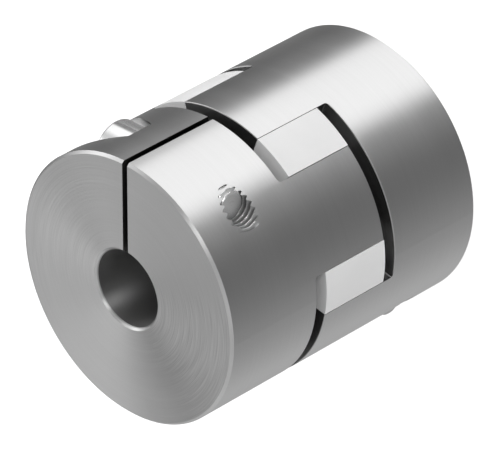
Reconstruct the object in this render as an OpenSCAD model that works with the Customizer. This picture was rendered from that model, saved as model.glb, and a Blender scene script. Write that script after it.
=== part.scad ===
// Zero-backlash jaw coupling for two shafts, standing on the end face of its lower hub.
// Two clamping hubs with three jaws each hold a six-legged elastomer spider between them.
// The origin is the centre of the lower end face, and +Z runs along the shafts.

/* [Hubs] */
// Outside diameter of the hubs and the spider
outer_d = 42; // [38:1:50]
// Length of one hub's clamping body, without its jaws
hub_len = 17; // [14:0.5:24]
// Chamfer around the rim of each outer end face
rim_chamfer = 0.4; // [0.1:0.05:1]
// Small edge break on the inner rim and on the jaw tips
edge_break = 0.1; // [0.05:0.05:0.3]

/* [Shaft bores] */
// Bore diameter of the hub that stands below
lower_bore_d = 12; // [8:0.5:14]
// Bore diameter of the hub above
upper_bore_d = 12; // [8:0.5:14]
// Chamfer at both mouths of each bore
bore_chamfer = 0.4; // [0.1:0.05:0.8]

/* [Clamping slits] */
// Width of the slit that lets each hub close on its shaft
slit_w = 1; // [0.6:0.1:2]

/* [Jaws and spider] */
// Axial length of the spider
spider_len = 12; // [9:0.5:16]
// Axial gap between the spider and each hub's inner face
axial_gap = 2; // [1:0.25:3]
// Angle that one jaw takes up, in degrees
jaw_angle = 40; // [36:0.5:42]
// Play between a spider leg and the jaw beside it, in degrees
leg_play = 0.3; // [0.1:0.05:1]
// Diameter of the jaws' inner faces
jaw_in_d = 23; // [20:0.5:26]
// Radial play between the spider's ring and the jaws
ring_play = 0.15; // [0.05:0.05:0.5]
// Diameter of the hole through the spider's ring
spider_hole_d = 17; // [15:0.5:18]
// Fillet where a jaw's flank meets its hub
root_fillet = 0.5; // [0.2:0.1:0.9]

/* [Clamp screws] */
// Thread diameter of the clamp screws
screw_d = 5; // [4:0.5:6]
// Length of a screw under its head
screw_len = 18; // [16:1:20]
// Diameter of the screw's head
head_d = 8.5; // [7:0.5:9]
// Height of the screw's head
head_h = 5; // [4:0.5:6]
// Chamfer around the outer edge of the head
head_chamfer = 0.4; // [0.2:0.1:0.8]
// Width across the flats of the hexagon socket
socket_af = 4; // [2.5:0.5:5]
// Depth of the hexagon socket
socket_depth = 2.6; // [1.5:0.1:3]
// Chamfer at the end of the screw's thread
end_chamfer = 0.4; // [0.2:0.1:0.8]
// Distance from the screw's axis to the outside of the hub, measured along the slit
screw_inset = 5.5; // [5:0.25:7]
// Distance from the slit's middle to the seat under the head
seat_x = 5.6; // [4.5:0.1:7]
// Play around the head in its pocket, on the radius
pocket_play = 1; // [0.4:0.1:1.2]
// Play around the shank in its hole, on the radius
shank_play = 0.25; // [0.1:0.05:0.5]
// Play around the thread in the tapped half, on the radius
thread_play = 0.15; // [0.1:0.05:0.3]

/* [Hidden] */
$fn = 128;
eps = 0.05;
// Depth to which a jaw is rooted in its hub's body, and a leg in the spider's ring
root_depth = 1;
// Thickness of the slab behind a jaw's flank, and the angle by which the jaw's core stays
// inside that flank
slab_t = 1.2;
slab_lap = 2;
// Depth to which a root fillet's arc dips into the hub's inner face, so that the two cross
fillet_dip = 0.02;
jaws_per_hub = 3;
jaw_pitch = 360 / jaws_per_hub;
outer_r = outer_d / 2;
jaw_in_r = jaw_in_d / 2;
jaw_len = axial_gap + spider_len;
total_len = 2 * hub_len + 2 * axial_gap + spider_len;
// A leg fills the space between a jaw of one hub and the next jaw of the other
legs = 2 * jaws_per_hub;
leg_angle = 360 / legs - jaw_angle - 2 * leg_play;
// The slit, at -90 degrees, lies midway between two jaws
first_jaw = jaw_pitch / 2 - 90;
screw_y = outer_r - screw_inset;
screw_z = hub_len / 2;
aluminium = [0.74, 0.75, 0.76];
white_elastomer = [0.93, 0.93, 0.92];
screw_steel = [0.62, 0.63, 0.64];

// Tube of the outside diameter between two heights
module tube(r_in, z_low, z_high) {
    difference() {
        translate([0, 0, z_low]) cylinder(h = z_high - z_low, r = outer_r);
        translate([0, 0, z_low - 1]) cylinder(h = z_high - z_low + 2, r = r_in);
    }
}

// Wedge from the axis outwards, between two angles under 180 degrees apart
module wedge(from_angle, to_angle, z_low, z_high) {
    reach = 2 * outer_r;
    middle = (from_angle + to_angle) / 2;
    translate([0, 0, z_low]) linear_extrude(z_high - z_low)
        polygon([[0, 0],
                 reach * [cos(from_angle), sin(from_angle)],
                 reach * [cos(middle), sin(middle)],
                 reach * [cos(to_angle), sin(to_angle)]]);
}

// Turned body of a hub, with its outer end face at z = 0
module hub_body() {
    rotate_extrude()
        polygon([[0, 0],
                 [outer_r - rim_chamfer, 0],
                 [outer_r, rim_chamfer],
                 [outer_r, hub_len - edge_break],
                 [outer_r - edge_break, hub_len],
                 [0, hub_len]]);
}

// Ring that breaks the outer edge of the jaw tips
module tip_edge_cut() {
    tip_z = hub_len + jaw_len;
    rotate_extrude()
        polygon([[outer_r - edge_break, tip_z],
                 [outer_r + eps, tip_z - edge_break - eps],
                 [outer_r + eps, tip_z + eps],
                 [outer_r - edge_break, tip_z + eps]]);
}

// Radial slab behind one flank of a jaw, with the fillet at its root
module flank_slab(angle, side) {
    rise = root_fillet - fillet_dip;
    rotate([0, 0, angle]) mirror([0, side < 0 ? 1 : 0, 0])
        translate([0, 0, hub_len]) rotate([90, 0, 90]) linear_extrude(outer_r + 1)
            difference() {
                translate([-slab_t, -2 * root_depth])
                    square([slab_t + root_fillet, 3 * root_depth + jaw_len]);
                translate([root_fillet, rise]) circle(r = root_fillet);
                translate([0, rise]) square(2 * jaw_len);
            }
}

// One jaw, its core carried out to the flanks by the two slabs
module hub_jaw(middle) {
    core_half = jaw_angle / 2 - slab_lap;
    low = hub_len - root_depth;
    high = hub_len + jaw_len;
    intersection() {
        tube(jaw_in_r, low, high);
        union() {
            wedge(middle - core_half, middle + core_half, low - 1, high + 1);
            flank_slab(middle + jaw_angle / 2, 1);
            flank_slab(middle - jaw_angle / 2, -1);
        }
    }
}

// Shaft bore through the hub's body, with a chamfer at both mouths
module shaft_bore(bore_d) {
    bore_r = bore_d / 2;
    mouth_r = bore_r + bore_chamfer + eps;
    translate([0, 0, -1]) cylinder(h = hub_len + 2, r = bore_r);
    rotate_extrude()
        polygon([[0, -eps], [mouth_r, -eps], [bore_r, bore_chamfer], [0, bore_chamfer]]);
    rotate_extrude()
        polygon([[0, hub_len + eps], [mouth_r, hub_len + eps],
                 [bore_r, hub_len - bore_chamfer], [0, hub_len - bore_chamfer]]);
}

// Slit from the bore out through the rim, over the body's whole length
module clamping_slit() {
    translate([-slit_w / 2, -outer_r - 1, -1]) cube([slit_w, outer_r + 1, hub_len + 2]);
}

// Head pocket, shank hole and tapped hole along the screw's axis, which crosses the slit
module screw_passage() {
    translate([0, -screw_y, screw_z]) rotate([0, 90, 0]) {
        translate([0, 0, -outer_r - 1])
            cylinder(h = outer_r + 1 - seat_x, r = head_d / 2 + pocket_play);
        translate([0, 0, -seat_x - eps])
            cylinder(h = seat_x + eps, r = screw_d / 2 + shank_play);
        cylinder(h = outer_r + 1, r = screw_d / 2 + thread_play);
    }
}

// A hub with its end face down, its slit towards -Y and its screw's head towards -X
module hub(bore_d) {
    color(aluminium) difference() {
        union() {
            hub_body();
            for (i = [0 : jaws_per_hub - 1])
                hub_jaw(first_jaw + i * jaw_pitch);
        }
        tip_edge_cut();
        shaft_bore(bore_d);
        clamping_slit();
        screw_passage();
    }
}

// Socket head screw along +X, with the seat of its head at seat_x on the -X side
module clamp_screw() {
    socket_r = socket_af / 2 / cos(30);
    color(screw_steel) translate([-seat_x, -screw_y, screw_z]) rotate([0, 90, 0])
        difference() {
            union() {
                rotate_extrude()
                    polygon([[0, -head_h],
                             [head_d / 2 - head_chamfer, -head_h],
                             [head_d / 2, -head_h + head_chamfer],
                             [head_d / 2, 0],
                             [0, 0]]);
                rotate_extrude()
                    polygon([[0, -eps],
                             [screw_d / 2, -eps],
                             [screw_d / 2, screw_len - end_chamfer],
                             [screw_d / 2 - end_chamfer, screw_len],
                             [0, screw_len]]);
            }
            translate([0, 0, -head_h - eps])
                cylinder(h = socket_depth + eps, r = socket_r, $fn = 6);
        }
}

// Turns a part of the lower hub over about the X axis, to its place in the upper hub
module turned_over() {
    translate([0, 0, total_len]) rotate([180, 0, 0]) children();
}

module lower_hub() {
    hub(lower_bore_d);
}

module upper_hub() {
    turned_over() hub(upper_bore_d);
}

// Ring with six legs, each between a jaw of the lower hub and a jaw of the upper one
module spider() {
    low = hub_len + axial_gap;
    high = low + spider_len;
    ring_r = jaw_in_r - ring_play;
    color(white_elastomer) difference() {
        union() {
            translate([0, 0, low]) cylinder(h = spider_len, r = ring_r);
            for (i = [0 : legs - 1]) {
                middle = i * 360 / legs;
                intersection() {
                    tube(ring_r - root_depth, low, high);
                    wedge(middle - leg_angle / 2, middle + leg_angle / 2, low - 1, high + 1);
                }
            }
        }
        translate([0, 0, low - 1]) cylinder(h = spider_len + 2, r = spider_hole_d / 2);
    }
}

module lower_clamp_screw() {
    clamp_screw();
}

module upper_clamp_screw() {
    turned_over() clamp_screw();
}

lower_hub();
spider();
upper_hub();
lower_clamp_screw();
upper_clamp_screw();
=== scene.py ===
"""Looks of a zero-backlash jaw coupling: turned hubs, moulded spider and M5 clamp screws."""

import math

import bmesh
import bpy
from mathutils import Matrix, Vector


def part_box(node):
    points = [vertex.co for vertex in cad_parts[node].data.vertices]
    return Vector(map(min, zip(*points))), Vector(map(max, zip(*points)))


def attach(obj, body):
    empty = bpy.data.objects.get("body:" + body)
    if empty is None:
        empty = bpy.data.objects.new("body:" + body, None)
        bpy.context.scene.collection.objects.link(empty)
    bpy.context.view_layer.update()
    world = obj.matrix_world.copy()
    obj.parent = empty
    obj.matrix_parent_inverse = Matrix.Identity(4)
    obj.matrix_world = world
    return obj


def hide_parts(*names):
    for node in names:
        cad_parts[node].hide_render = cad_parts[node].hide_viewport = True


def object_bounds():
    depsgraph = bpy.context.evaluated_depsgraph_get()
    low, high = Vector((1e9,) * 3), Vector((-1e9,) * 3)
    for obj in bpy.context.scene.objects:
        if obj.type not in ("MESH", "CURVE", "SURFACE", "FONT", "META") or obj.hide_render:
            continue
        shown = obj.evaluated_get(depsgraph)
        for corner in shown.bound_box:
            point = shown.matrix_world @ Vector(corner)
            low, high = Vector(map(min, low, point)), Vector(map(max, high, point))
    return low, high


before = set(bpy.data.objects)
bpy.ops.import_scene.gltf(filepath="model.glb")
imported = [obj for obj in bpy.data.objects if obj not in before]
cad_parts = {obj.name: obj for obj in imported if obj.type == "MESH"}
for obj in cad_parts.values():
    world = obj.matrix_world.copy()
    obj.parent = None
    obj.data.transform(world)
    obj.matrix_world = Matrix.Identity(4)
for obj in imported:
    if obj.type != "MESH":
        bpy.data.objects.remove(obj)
cad_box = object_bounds()

MM = 0.001
TURN = 2 * math.pi
HEX_SECTOR = TURN / 6
# The value that a noise varies around
NOISE_MIDDLE = 0.5

# Sizes taken from the frame, in metres
hub_low, hub_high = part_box("upper_hub")
screw_low, screw_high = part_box("upper_clamp_screw")
COUPLING_LEN = cad_box[1][2]
HUB_R = hub_high.x
SCREW_AXIS_Y = (screw_low.y + screw_high.y) / 2
UPPER_SCREW_Z = (screw_low.z + screw_high.z) / 2
LOWER_SCREW_Z = COUPLING_LEN - UPPER_SCREW_Z
HEAD_R = (screw_high.y - screw_low.y) / 2

# The M5 clamp screws
HEAD_H = 5.0 * MM
SEAT_X = -(screw_low.x + HEAD_H)
SCREW_LEN = screw_high.x + SEAT_X
THREAD_R = 2.5 * MM
THREAD_PITCH = 0.8 * MM
THREAD_ROOT_R = 2.02 * MM
THREAD_START = 3.0 * MM
END_CHAMFER = 0.4 * MM
HEAD_EDGE = 0.45 * MM
SEAT_CHAMFER = 0.12 * MM
# Place of a thread crest along the screw, from the seat, at the angle where rings begin
THREAD_PHASE = 0.376 * MM
# Half the width of the flat on a thread's crest and in its root, in pitches
CREST_FLAT = 1 / 16
ROOT_FLAT = 1 / 10

# The hexagon socket, with a small ring at the centre of its flat floor and a chamfer at its
# mouth, which ends in a circle just outside the corners
SOCKET_AF = 4.0 * MM
SOCKET_DEPTH = 2.6 * MM
SOCKET_CENTRE_R = 0.3 * MM
MOUTH_DEPTH = 0.25 * MM
MOUTH_MARGIN = 0.12 * MM

# The hubs: the bore, half the width of the slit, and half the height of the gap between the
# two bodies, where the jaws and the spider's legs are
BORE_R = 6.0 * MM
SLIT_HALF = 0.5 * MM
GAP_HALF = 8.0 * MM

# The tapped hole of a hub. Its threaded sleeve reaches a little into the metal around it and
# is cut off just under the hub's skin
HOLE_R = 2.65 * MM
TAP_CREST_R = 2.10 * MM
TAP_ROOT_R = HOLE_R + 0.05 * MM
TAP_BACK_R = 3.0 * MM
CUT_DEPTH = 0.01 * MM
CUTTER_SIDES = 512

# How finely round pieces and threads are made, and the angle from which an edge looks sharp
SIDES = 96
ROW_HEIGHT = THREAD_PITCH / 12
EDGE_STEPS = 6
SHARP_ANGLE = math.radians(28)

# The camera, fitted to where the photograph's edges and corners lie
LENS_PLACE = Vector((450.90, 407.17, 486.64)) * MM
LOOK_DIRECTION = Vector((-0.59075, -0.53407, -0.60480))
PICTURE_UP = Vector((-0.37562, 0.84544, -0.37967))
PICTURE_WIDTH_PX = 500
FOCAL_PX = 5304.2
SENSOR_MM = 36.0
CLIP_NEAR = 0.01
CLIP_FAR = 50.0

# Turned metal: its lines and clouds to a metre, and how little they change along a groove
FINE_LINES = 4200.0
BROAD_LINES = 500.0
MARK_LINES = 9000.0
CLOUDS = 90.0
ALONG_GROOVE = 0.02
# Share of a turn that sets a turned surface's long highlights across its grooves
ACROSS_GROOVES = 0.25
# Shares of a metal's groove height: on its sides, what an end face has besides, and the
# height of the broad grooves against the fine ones
SIDE_GROOVES = 0.2
FACE_GROOVES = 0.25
BROAD_GROOVES = 0.15
# What share the lines and clouds have in the tone, and how much they change the roughness
FINE_TONE = 0.4
BROAD_TONE = 0.3
CLOUD_TONE = 0.3
BROAD_DULLNESS = 0.06
CLOUD_DULLNESS = 0.04
# How much of a surface's normal lies along the axis where it starts to count as an end face
# and where it counts fully, and the same along X for the wall of a slit
FACE_TILT = (0.6, 0.9)
SLIT_TILT = (0.8, 0.95)
# Soft edges: how far past its wall a bore or slit still counts fully, and how far out the
# slit, the bore and the gap between the hubs have faded
WALL_MARGIN = 0.05 * MM
SLIT_FADE = 0.1 * MM
BORE_FADE = 0.2 * MM
GAP_FADE = 0.5 * MM
# How deep under a hub's outside a place has to lie to get the painted shade of a recess
SKIN_DEPTH = 0.03 * MM
# How far the painted shade of a recess looks for the open, how dull a bore is, and what share of
# its colour a bore keeps under painted shade
RECESS_REACH = 4.0 * MM
RECESS_RAYS = 8
BORE_ROUGHNESS = 0.40
BORE_PAINTED_SHADE = 0.6
# The tool's marks on an end face, painted as a sheen only on the side where reflections show
# them: that side, how far round they reach as cosines of the angle from it, their share on the
# opposite side, and how much they stand out
MARK_SHEEN_SIDE = math.radians(-14)
MARKS_START = 0.70
MARKS_FULL = 0.98
OPPOSITE_MARKS = 0.3
MARK_TONE = 0.45

# The moulded elastomer: its grain and clouds to a metre, how far the grain stands out, and
# the gloss
ELASTOMER_GRAIN = 9000.0
ELASTOMER_CLOUDS = 180.0
GRAIN_HEIGHT = 0.01 * MM
GRAIN_STRENGTH = 0.5
ELASTOMER_ROUGHNESS = 0.42
ELASTOMER_CLOUDING = 0.1
ELASTOMER_IOR = 1.48

# Light on matt surfaces, and the floor
ROOM_LIGHT = 0.44
SOFTBOX_SIZE = 0.6
SOFTBOX_DISTANCE = 0.9
FLOOR_REACH = 4.0
FLOOR_TONE = 0.8
FLOOR_GLOW = 0.75

# The studio that the metal mirrors: the light of its walls, its ceiling and its darkest place
WALL_LIGHT = 0.136
CEILING_LIGHT = 0.247
DARKEST = 0.02
# Sines of the elevations where the bright wall starts to fade and has faded, what part of it
# fades, and where the ceiling starts and is full
WALL_FADE = (0.005, 0.355)
WALL_FADED = 0.67
CEILING_RISE = (0.07, 0.58)
# How far to each side of its edge a round lamp fades, as a share of its radius
LAMP_FADE = 0.5


class Value:
    """One number that varies over a surface. Sums and products of values add Math nodes."""

    def __init__(self, finish, socket):
        self.finish = finish
        self.socket = socket

    def math(self, operation, *others):
        return self.finish.math(operation, self, *others)

    def __add__(self, other):
        return self.finish.math("ADD", self, other)

    def __radd__(self, other):
        return self.finish.math("ADD", other, self)

    def __sub__(self, other):
        return self.finish.math("SUBTRACT", self, other)

    def __rsub__(self, other):
        return self.finish.math("SUBTRACT", other, self)

    def __mul__(self, other):
        return self.finish.math("MULTIPLY", self, other)

    def __rmul__(self, other):
        return self.finish.math("MULTIPLY", other, self)

    def __truediv__(self, other):
        return self.finish.math("DIVIDE", self, other)

    def __rtruediv__(self, other):
        return self.finish.math("DIVIDE", other, self)


class Finish:
    """The node tree of a material or of the world, with one method that adds a node."""

    def __init__(self, tree):
        self.tree = tree
        self.tree.nodes.clear()

    def add(self, kind, settings=None, values=None):
        """New node of a kind, with its settings and the values or links of its sockets."""
        node = self.tree.nodes.new(kind)
        for name, setting in (settings or {}).items():
            setattr(node, name, setting)
        for name, value in (values or {}).items():
            socket = node.inputs[name]
            if isinstance(value, Value):
                self.tree.links.new(value.socket, socket)
            elif isinstance(value, bpy.types.NodeSocket):
                self.tree.links.new(value, socket)
            else:
                socket.default_value = value
        return node

    def value(self, kind, output, settings=None, values=None):
        """One output of a new node, for use in expressions."""
        return Value(self, self.add(kind, settings, values).outputs[output])

    def math(self, operation, *numbers):
        """What a Math node makes of one to three numbers or values."""
        return self.value("ShaderNodeMath", 0, {"operation": operation},
                          dict(enumerate(numbers)))

    def parts(self, vector):
        """The X, Y and Z of a vector."""
        split = self.add("ShaderNodeSeparateXYZ", values={"Vector": vector})
        return [Value(self, split.outputs[axis]) for axis in "XYZ"]

    def vector(self, x, y, z):
        return self.add("ShaderNodeCombineXYZ", values={"X": x, "Y": y, "Z": z}).outputs[0]

    def ramp(self, value, start, full):
        """Smooth step from 0 at start to 1 at full, which may be the lower of the two."""
        return self.value("ShaderNodeMapRange", "Result",
                          {"interpolation_type": "SMOOTHSTEP"},
                          {"Value": value, "From Min": start, "From Max": full})

    def noise(self, vector, scale, detail):
        return self.value("ShaderNodeTexNoise", "Fac",
                          values={"Vector": vector, "Scale": scale, "Detail": detail})

    def mixed_colour(self, share, first, second):
        """Colour between two, the first where share is 0."""
        return self.add("ShaderNodeMix", {"data_type": "RGBA"},
                        {"Factor": share, 6: first, 7: second}).outputs[2]

    def scaled_colour(self, colour, brightness):
        return self.add("ShaderNodeVectorMath", {"operation": "SCALE"},
                        {0: colour, "Scale": brightness}).outputs[0]


def grey(level):
    return (level, level, level, 1)


def new_material(name):
    material = bpy.data.materials.new(name)
    material.use_nodes = True
    return material, Finish(material.node_tree)


def tool_marks_as_sheen(finish, x, y, radius, drift):
    """How far the tool's marks, painted as a sheen where reflections show them, lighten or
    darken an end face.
    """
    sideways = (x * math.cos(MARK_SHEEN_SIDE) + y * math.sin(MARK_SHEEN_SIDE)) / radius
    marked = (finish.ramp(sideways, MARKS_START, MARKS_FULL)
              + finish.ramp(sideways, -MARKS_START, -MARKS_FULL) * OPPOSITE_MARKS)
    lines = finish.noise(drift, MARK_LINES, detail=0.0) - NOISE_MIDDLE
    return lines * marked * MARK_TONE


def painted_recess_shade(finish, radius, z, deep_shade, recess, pocket_light):
    """Share of its colour that a place keeps under painted shade: all in the open, less in a
    recess.
    """
    open_sky = finish.value("ShaderNodeAmbientOcclusion", "AO", {"samples": RECESS_RAYS},
                            {"Distance": RECESS_REACH})
    on_skin = finish.ramp(radius, HUB_R - SKIN_DEPTH, HUB_R - SKIN_DEPTH / 2)
    off_gap = finish.ramp((z - COUPLING_LEN / 2).math("ABSOLUTE"), GAP_HALF,
                          GAP_HALF + GAP_FADE)
    in_recess = finish.ramp(open_sky + off_gap * pocket_light, *recess) * (1 - on_skin)
    return 1 - in_recess * (1 - deep_shade)


def painted_slit_shade(finish, x, towards_x, slit_shade):
    """Share of its colour that a place keeps under painted shade: less on the walls of a slit.
    """
    near_slit = finish.ramp(x.math("ABSOLUTE"), SLIT_HALF + SLIT_FADE, SLIT_HALF + WALL_MARGIN)
    on_wall = near_slit * finish.ramp(towards_x.math("ABSOLUTE"), *SLIT_TILT)
    return 1 - on_wall * (1 - slit_shade)


def metal(name, dark, light, roughness, anisotropy, groove_height, deep_shade, recess,
          pocket_light=0.0, slit_shade=1.0, dish=0.0, bore_r=0.0, metallic=1.0,
          end_dullness=0.0):
    """Turned metal: grooves round the object's own Z axis, on its sides and on its end faces.
    Its greys lie between dark and light. Painted shade darkens its colour: a deep recess keeps
    the share deep_shade of its brightness, and the walls of a slit keep slit_shade. The two
    numbers of recess say how open a place is where the painted shade starts and where it is
    full, and outside the gap between the hubs a place counts as more open by pocket_light. An
    end face may be dished by a small slope, and duller by end_dullness. A bore of radius bore_r
    is duller, and darker by painted shade. The tool's marks on an end face are painted as a
    sheen on the side where reflections show them."""
    material, finish = new_material(name)
    place = finish.add("ShaderNodeTexCoord")
    x, y, z = finish.parts(place.outputs["Object"])
    towards = finish.parts(place.outputs["Normal"])
    radius = (x * x + y * y).math("SQRT")
    on_face = finish.ramp(towards[2].math("ABSOLUTE"), *FACE_TILT)
    across = radius * on_face + z * (1 - on_face)
    drift = finish.vector(x * ALONG_GROOVE, y * ALONG_GROOVE, across)
    fine = finish.noise(drift, FINE_LINES, detail=0.0)
    broad = finish.noise(drift, BROAD_LINES, detail=2.0)
    cloud = finish.noise(place.outputs["Object"], CLOUDS, detail=3.0)
    # A bore is duller, and painted shade darkens its colour
    in_bore = 0.0
    if bore_r:
        in_bore = finish.ramp(radius, bore_r + BORE_FADE, bore_r + WALL_MARGIN)

    grooves = ((fine + broad * BROAD_GROOVES) * (SIDE_GROOVES + on_face * FACE_GROOVES)
               * groove_height)
    bump = finish.add("ShaderNodeBump", values={
        "Height": grooves - radius * on_face * dish, "Strength": 1.0, "Distance": 1.0})
    # Painted shade and sheen: the colour is darkened in recesses, on the slit's walls and in the
    # bore, and the tool's marks are drawn where reflections show them
    brightness = ((1 + tool_marks_as_sheen(finish, x, y, radius, drift) * on_face)
                  * painted_recess_shade(finish, radius, z, deep_shade, recess, pocket_light)
                  * painted_slit_shade(finish, x, towards[0], slit_shade)
                  * (1 - in_bore * (1 - BORE_PAINTED_SHADE)))
    tone = finish.mixed_colour(fine * FINE_TONE + broad * BROAD_TONE + cloud * CLOUD_TONE,
                               grey(dark), grey(light))
    shader = finish.add("ShaderNodeBsdfPrincipled", values={
        "Base Color": finish.scaled_colour(tone, brightness),
        "Roughness": roughness + in_bore * (BORE_ROUGHNESS - roughness)
                     + (broad - NOISE_MIDDLE) * BROAD_DULLNESS
                     + (cloud - NOISE_MIDDLE) * CLOUD_DULLNESS + on_face * end_dullness,
        "Metallic": metallic,
        "Anisotropic": anisotropy,
        "Anisotropic Rotation": ACROSS_GROOVES,
        "Normal": bump.outputs[0]})
    finish.add("ShaderNodeOutputMaterial", values={"Surface": shader.outputs[0]})
    return material


def moulded_elastomer(name, dark, light):
    """Satin elastomer, as it leaves a mould: fine grain, and clouds in its grey and gloss."""
    material, finish = new_material(name)
    place = finish.add("ShaderNodeTexCoord").outputs["Object"]
    grain = finish.noise(place, ELASTOMER_GRAIN, detail=2.0)
    cloud = finish.noise(place, ELASTOMER_CLOUDS, detail=3.0)
    bump = finish.add("ShaderNodeBump", values={
        "Height": grain, "Strength": GRAIN_STRENGTH, "Distance": GRAIN_HEIGHT})
    shader = finish.add("ShaderNodeBsdfPrincipled", values={
        "Base Color": finish.mixed_colour(cloud, grey(dark), grey(light)),
        "Roughness": ELASTOMER_ROUGHNESS + (cloud - NOISE_MIDDLE) * ELASTOMER_CLOUDING,
        "IOR": ELASTOMER_IOR,
        "Normal": bump.outputs[0]})
    finish.add("ShaderNodeOutputMaterial", values={"Surface": shader.outputs[0]})
    return material


def add_object(name, data, place=None):
    obj = bpy.data.objects.new(name, data)
    if place:
        obj.matrix_world = place
    bpy.context.scene.collection.objects.link(obj)
    return obj


def mesh_from(bm, name):
    mesh = bpy.data.meshes.new(name)
    bm.normal_update()
    bm.to_mesh(mesh)
    bm.free()
    return mesh


def shade(mesh):
    """Smooth, but for the edges that are meant to be sharp."""
    mesh.shade_smooth()
    mesh.set_sharp_from_angle(angle=SHARP_ANGLE)


def add_rings(bm, rings):
    """Loops of points, one for each ring: a height and a function from angle to radius."""
    loops = []
    for height, radius_at in rings:
        loop = []
        for side in range(SIDES):
            angle = TURN * side / SIDES
            radius = radius_at(angle)
            loop.append(bm.verts.new((radius * math.cos(angle), radius * math.sin(angle),
                                      height)))
        loops.append(loop)
    return loops


def join_loops(bm, lower, upper, inward=False):
    """Faces between two loops. They look away from the axis, or towards it where inward."""
    for side in range(SIDES):
        other = (side + 1) % SIDES
        if inward:
            corners = (lower[side], upper[side], upper[other], lower[other])
        else:
            corners = (lower[side], lower[other], upper[other], upper[side])
        bm.faces.new(corners)


def close_loop(bm, loop, height, downward):
    """Fan of faces from a loop to the axis."""
    centre = bm.verts.new((0, 0, height))
    for side in range(SIDES):
        corners = (loop[side], loop[(side + 1) % SIDES], centre)
        bm.faces.new(corners[::-1] if downward else corners)


def lofted_mesh(name, rings):
    """Closed mesh through rings. Fans to the axis close the first one, which looks down, and
    the last one, which looks up."""
    bm = bmesh.new()
    loops = add_rings(bm, rings)
    for lower, upper in zip(loops, loops[1:]):
        join_loops(bm, lower, upper)
    close_loop(bm, loops[0], rings[0][0], downward=True)
    close_loop(bm, loops[-1], rings[-1][0], downward=False)
    mesh = mesh_from(bm, name)
    shade(mesh)
    return mesh


def round_ring(radius):
    return lambda angle: radius


def hex_ring(across_flats):
    return lambda angle: across_flats / 2 / math.cos((angle % HEX_SECTOR) - HEX_SECTOR / 2)


def ridge_share(angle, height):
    """How far out a thread stands at this place: 1 on its crest and 0 in its root."""
    turns = (height - THREAD_PHASE) / THREAD_PITCH - angle / TURN
    off_crest = abs(turns - round(turns))
    return min(1.0, max(0.0, (0.5 - ROOT_FLAT - off_crest) / (0.5 - ROOT_FLAT - CREST_FLAT)))


def shank_ring(height):
    """Ring of the screw's shank, whose thread runs in over one pitch, with its end chamfered."""
    run_in = min(1.0, max(0.0, (height - THREAD_START) / THREAD_PITCH))
    tip_r = THREAD_R - max(0.0, END_CHAMFER - (SCREW_LEN - height))

    def radius_at(angle):
        ridge = THREAD_ROOT_R + (THREAD_R - THREAD_ROOT_R) * ridge_share(angle, height)
        body = THREAD_R + (ridge - THREAD_R) * run_in
        return min(body, tip_r)
    return height, radius_at


def head_rings():
    """Rings of the screw's head, from the floor of its socket out and down to its seat."""
    corner_r = SOCKET_AF / 2 / math.cos(HEX_SECTOR / 2)
    rings = [(-HEAD_H + SOCKET_DEPTH, round_ring(SOCKET_CENTRE_R)),
             (-HEAD_H + SOCKET_DEPTH, hex_ring(SOCKET_AF)),
             (-HEAD_H + MOUTH_DEPTH, hex_ring(SOCKET_AF)),
             (-HEAD_H, round_ring(corner_r + MOUTH_MARGIN)),
             (-HEAD_H, round_ring(HEAD_R - HEAD_EDGE))]
    for step in range(1, EDGE_STEPS + 1):
        turn = TURN / 4 * step / EDGE_STEPS
        rings.append((-HEAD_H + HEAD_EDGE * (1 - math.cos(turn)),
                      round_ring(HEAD_R - HEAD_EDGE * (1 - math.sin(turn)))))
    rings += [(-SEAT_CHAMFER, round_ring(HEAD_R)),
              (0.0, round_ring(HEAD_R - SEAT_CHAMFER)),
              (0.0, round_ring(THREAD_R))]
    return rings


def screw_mesh():
    """Socket head screw along +Z, with the seat of its head at height 0."""
    rings = head_rings()
    rings.append(shank_ring(THREAD_START))
    height = THREAD_START + ROW_HEIGHT
    while height < SCREW_LEN:
        rings.append(shank_ring(height))
        height += ROW_HEIGHT
    rings.append(shank_ring(SCREW_LEN))
    return lofted_mesh("clamp_screw", rings)


def thread_ring(height):
    """Ring of a tapped hole's thread, whose groove is where the screw's crest is."""
    def radius_at(angle):
        return TAP_CREST_R + (TAP_ROOT_R - TAP_CREST_R) * ridge_share(angle, height)
    return height, radius_at


def tapped_thread_mesh(name):
    """Thread of a tapped hole along +Z, from the slit to past the hub's rim."""
    start = SEAT_X + SLIT_HALF
    end = SEAT_X + HUB_R
    rows = int((end - start) / ROW_HEIGHT)
    rings = [thread_ring(start + row * ROW_HEIGHT) for row in range(rows)]
    lowest = (rings[0][0], round_ring(TAP_BACK_R))
    highest = (rings[-1][0], round_ring(TAP_BACK_R))
    bm = bmesh.new()
    loops = add_rings(bm, [lowest, *rings, highest])
    for lower, upper in zip(loops, loops[1:] + loops[:1]):
        join_loops(bm, lower, upper, inward=True)
    return mesh_from(bm, name)


def screw_place(side):
    """Where a screw's seat is and how its axis turns: side 1 is the upper hub, -1 the lower."""
    height = UPPER_SCREW_Z if side > 0 else LOWER_SCREW_Z
    turn = Matrix(((0, 0, 1), (side, 0, 0), (0, side, 0))).to_4x4()
    return Matrix.Translation((-SEAT_X, side * SCREW_AXIS_Y, height)) @ turn


def rim_cylinder():
    """Cylinder just inside the hubs' outside, which cuts off the threaded sleeves."""
    bm = bmesh.new()
    bmesh.ops.create_cone(bm, cap_ends=True, segments=CUTTER_SIDES, radius1=HUB_R - CUT_DEPTH,
                          radius2=HUB_R - CUT_DEPTH, depth=COUPLING_LEN * 2)
    return add_object("rim_cutter", mesh_from(bm, "rim_cutter"))


def finished_mesh(obj):
    """The object's mesh with its modifiers in it."""
    graph = bpy.context.evaluated_depsgraph_get()
    return bpy.data.meshes.new_from_object(obj.evaluated_get(graph))


def add_screw(name, node, side, material):
    screw = add_object(name, screw_mesh(), screw_place(side))
    screw.data.materials.append(material)
    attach(screw, "root")
    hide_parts(node)


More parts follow.
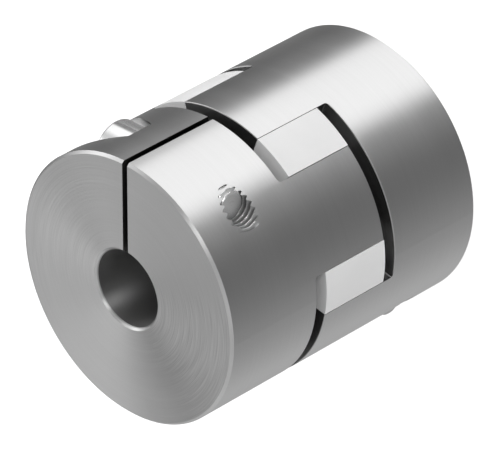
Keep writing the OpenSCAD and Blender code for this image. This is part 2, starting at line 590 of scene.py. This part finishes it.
def add_tapped_thread(name, side, outside, inside, cutter):
    """Thread of a hub's tapped hole, cut off at the rim, where it looks as the hub does."""
    mesh = tapped_thread_mesh(name)
    mesh.transform(screw_place(side))
    thread = add_object(name, mesh)
    cut = thread.modifiers.new("rim", "BOOLEAN")
    cut.operation = "INTERSECT"
    cut.solver = "EXACT"
    cut.object = cutter
    trimmed = finished_mesh(thread)
    thread.modifiers.clear()
    thread.data = trimmed
    trimmed.name = name
    trimmed.materials.clear()
    trimmed.materials.append(outside)
    trimmed.materials.append(inside)
    for face in trimmed.polygons:
        at_rim = all(trimmed.vertices[corner].co.xy.length > HUB_R - 2 * CUT_DEPTH
                     for corner in face.vertices)
        face.material_index = 0 if at_rim else 1
    shade(trimmed)
    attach(thread, "root")


def add_camera():
    back = -LOOK_DIRECTION.normalized()
    right = PICTURE_UP.cross(back).normalized()
    up = back.cross(right)
    turn = Matrix((right, up, back)).transposed().to_4x4()
    data = bpy.data.cameras.new("camera")
    data.sensor_width = SENSOR_MM
    data.lens = FOCAL_PX / PICTURE_WIDTH_PX * SENSOR_MM
    data.clip_start = CLIP_NEAR
    data.clip_end = CLIP_FAR
    bpy.context.scene.camera = add_object("camera", data, Matrix.Translation(LENS_PLACE) @ turn)


def outward(azimuth, elevation):
    """Direction from the coupling to a light. Azimuth 0 is +X, the side of the upper hub's
    tapped hole, 90 is +Y, the side of its slit, and 180 is -X, the side of its screw's head."""
    turn = math.radians(azimuth)
    rise = math.radians(elevation)
    return Vector((math.cos(turn) * math.cos(rise), math.sin(turn) * math.cos(rise),
                   math.sin(rise)))


def mirrored_studio(finish):
    """Light of the studio that the metal mirrors: a dim room with soft upright panels, round
    lamps and dark round shades. A number behind a panel, lamp or shade is its strength."""
    direction = finish.add("ShaderNodeTexCoord").outputs["Generated"]
    x, y, z = finish.parts(direction)
    azimuth = y.math("ARCTAN2", x)

    def panel(centre, half_width, softness):
        """Upright panel of the room: its azimuth, half width and soft edge, in degrees."""
        off = (azimuth - math.radians(centre)).math("WRAP", math.pi, -math.pi)
        return finish.ramp(off.math("ABSOLUTE"), math.radians(half_width + softness),
                           math.radians(half_width - softness))

    def disk(centre, elevation, radius):
        """Round lamp or shade: its azimuth, elevation and radius, in degrees."""
        near = finish.value("ShaderNodeVectorMath", "Value", {"operation": "DOT_PRODUCT"},
                            {0: direction, 1: outward(centre, elevation)})
        return finish.ramp(near, math.cos(math.radians((1 + LAMP_FADE) * radius)),
                           math.cos(math.radians((1 - LAMP_FADE) * radius)))

    # The walls: a bright panel on the slit's side, which fades upwards, and a dim one opposite
    unfaded = 1 - finish.ramp(z, *WALL_FADE) * WALL_FADED
    walls = WALL_LIGHT + unfaded * panel(103.5, 38.2, 10.6) * 1.03 + panel(-94, 25, 90) * 0.51
    # The ceiling: a bright panel on the side of the screw's head, and darker on the tapped side
    ceiling = finish.ramp(z, *CEILING_RISE) * (
        CEILING_LIGHT + panel(168.5, 18.3, 10) * 2.0 - panel(-13, 108, 11.6) * 0.10)
    lamps_behind = (disk(213, 57, 10.3) * 1.30 + disk(248, 50, 10.8) * 0.75
                    + disk(238, 21, 9) * 0.25)
    lamp_before = disk(52, 22, 13) * 5.9
    lamps_beside = disk(-3, 47, 22) * 0.20 + disk(92, 47, 10) * 0.38
    shades_above = disk(193, 58, 26.4) * 0.74 + disk(92, 62.5, 23.4) * 0.70
    shades_low = disk(224, 17, 9) * 0.23 + disk(137, -31, 8) * 1.0 + disk(186, -37, 20) * 0.05
    return (walls + ceiling + lamps_behind + lamp_before + lamps_beside
            - shades_above - shades_low).math("MAXIMUM", DARKEST)


def studio_world():
    """White to the camera, a plain room to matt surfaces, and a studio to metal."""
    world = bpy.data.worlds.new("studio")
    bpy.context.scene.world = world
    world.use_nodes = True
    finish = Finish(world.node_tree)
    rays = finish.add("ShaderNodeLightPath")
    to_camera = Value(finish, rays.outputs["Is Camera Ray"])
    to_diffuse = Value(finish, rays.outputs["Is Diffuse Ray"])
    strength = (to_camera + to_diffuse * ROOM_LIGHT
                + (1 - to_camera - to_diffuse) * mirrored_studio(finish))
    background = finish.add("ShaderNodeBackground", values={"Color": grey(1),
                                                            "Strength": strength})
    finish.add("ShaderNodeOutputWorld", values={"Surface": background.outputs[0]})


def add_floor():
    """Matt floor that looks white to the camera. The metal mirrors the studio in its place."""
    bm = bmesh.new()
    bmesh.ops.create_grid(bm, x_segments=1, y_segments=1, size=FLOOR_REACH)
    floor = add_object("floor", mesh_from(bm, "floor"))
    material, finish = new_material("pale_floor")
    rays = finish.add("ShaderNodeLightPath")
    matt = finish.add("ShaderNodeBsdfDiffuse", values={"Color": grey(FLOOR_TONE)})
    glow = finish.add("ShaderNodeEmission", values={"Color": grey(1), "Strength": FLOOR_GLOW})
    bright = finish.add("ShaderNodeAddShader", values={0: matt.outputs[0],
                                                       1: glow.outputs[0]})
    seen = finish.add("ShaderNodeMixShader", values={
        0: rays.outputs["Is Camera Ray"], 1: matt.outputs[0], 2: bright.outputs[0]})
    finish.add("ShaderNodeOutputMaterial", values={"Surface": seen.outputs[0]})
    floor.data.materials.append(material)
    floor.visible_glossy = False


def add_softbox(name, azimuth, elevation, watts):
    """Round softbox that looks at the coupling's middle and lights only matt surfaces."""
    data = bpy.data.lights.new(name, "AREA")
    data.shape = "DISK"
    data.size = SOFTBOX_SIZE
    data.energy = watts
    light = add_object(name, data)
    away = outward(azimuth, elevation)
    light.location = Vector((0, 0, COUPLING_LEN / 2)) + away * SOFTBOX_DISTANCE
    light.rotation_euler = away.to_track_quat("Z", "Y").to_euler()
    light.visible_glossy = False


def build():
    # The deep_shade, slit_shade and recess of each metal set the painted shade in its colour
    aluminium = metal("turned_aluminium", dark=0.76, light=0.84, roughness=0.33,
                      anisotropy=0.75, groove_height=0.027 * MM, deep_shade=0.40,
                      recess=(1.0, 0.78), pocket_light=0.5, slit_shade=0.4, dish=-0.074,
                      bore_r=BORE_R)
    threaded = metal("tapped_aluminium", dark=0.74, light=0.84, roughness=0.52,
                     anisotropy=0.0, groove_height=0.001 * MM, deep_shade=0.45,
                     recess=(0.7, 0.3))
    steel = metal("bright_steel", dark=0.90, light=0.93, roughness=0.15, anisotropy=0.0,
                  groove_height=0.00005 * MM, deep_shade=0.35, recess=(0.6, 0.2),
                  metallic=0.8, end_dullness=0.3)
    elastomer = moulded_elastomer("white_elastomer", dark=0.80, light=0.86)
    for node, material in (("lower_hub", aluminium), ("upper_hub", aluminium),
                           ("spider", elastomer)):
        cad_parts[node].data.materials.clear()
        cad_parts[node].data.materials.append(material)
    cutter = rim_cylinder()
    for part, side in (("upper", 1), ("lower", -1)):
        add_screw(f"{part}_screw", f"{part}_clamp_screw", side, steel)
        add_tapped_thread(f"{part}_tapped_thread", side, aluminium, threaded,
                          cutter)
    bpy.data.objects.remove(cutter)
    add_floor()
    studio_world()
    add_softbox("main_softbox", azimuth=95, elevation=20, watts=2.6)
    add_softbox("right_softbox", azimuth=-5, elevation=17, watts=1.0)
    add_softbox("left_softbox", azimuth=170, elevation=6, watts=3.4)
    add_camera()
    bpy.context.scene.view_settings.view_transform = "Standard"


build()
